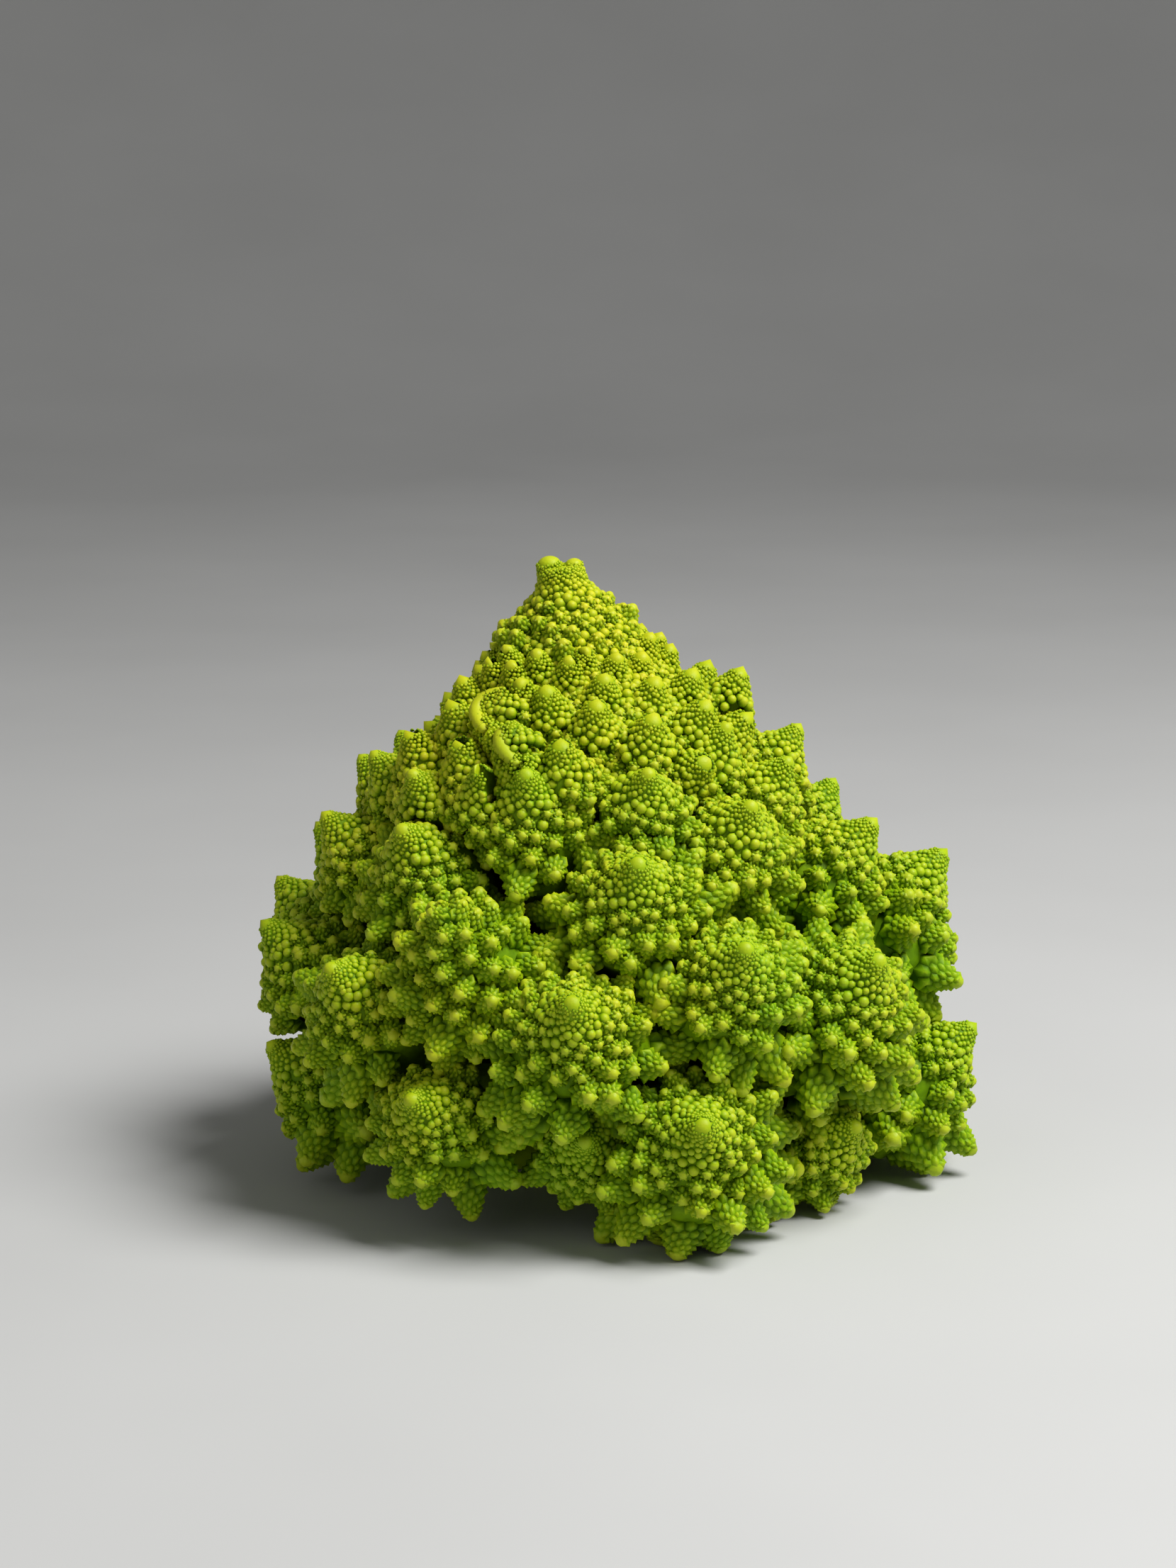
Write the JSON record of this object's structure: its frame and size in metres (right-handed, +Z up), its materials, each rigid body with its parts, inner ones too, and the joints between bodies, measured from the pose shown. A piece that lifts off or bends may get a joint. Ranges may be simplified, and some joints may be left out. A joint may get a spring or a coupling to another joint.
{
  "type": "romanesco head",
  "caption": "Romanesco head standing on its cut stem: spiralling cone-shaped florets of pointed green buds that grow smaller up to a pointed crown.",
  "frame": {"origin": "centre of the stem's cut face, which is the flat face that the head stands on", "axes": "+Z up the stem towards the crown, -Y towards the front, +X to the right seen from the front"},
  "size_m": [0.1666, 0.1578, 0.144],
  "materials": {
    "floret_green": "satin, waxy, slightly translucent",
    "crown_green": "satin, waxy, slightly translucent",
    "stem_green": "matte, moist where cut"
  },
  "bodies": {
    "root": {"stem": "stem_green", "crown": "crown_green", "floret_01": "floret_green", "floret_02": "floret_green", "floret_03": "floret_green", "floret_04": "floret_green", "floret_05": "floret_green", "floret_06": "floret_green", "floret_07": "floret_green", "floret_08": "floret_green", "floret_09": "floret_green", "floret_10": "floret_green", "floret_11": "floret_green", "floret_12": "floret_green", "floret_13": "floret_green", "floret_14": "floret_green", "floret_15": "floret_green", "floret_16": "floret_green", "floret_17": "floret_green", "floret_18": "floret_green", "floret_19": "floret_green", "floret_20": "floret_green", "floret_21": "floret_green", "floret_22": "floret_green", "floret_23": "floret_green", "floret_24": "floret_green", "floret_25": "floret_green", "floret_26": "floret_green", "floret_27": "floret_green", "floret_28": "floret_green", "floret_29": "floret_green", "floret_30": "floret_green", "floret_31": "floret_green", "floret_32": "floret_green", "floret_33": "floret_green", "floret_34": "floret_green", "floret_35": "floret_green", "floret_36": "floret_green", "floret_37": "floret_green", "floret_38": "floret_green", "floret_39": "floret_green", "floret_40": "floret_green", "floret_41": "floret_green", "floret_42": "floret_green", "floret_43": "floret_green", "floret_44": "floret_green", "floret_45": "floret_green", "floret_46": "floret_green", "floret_47": "floret_green"}
  },
  "joints": []
}
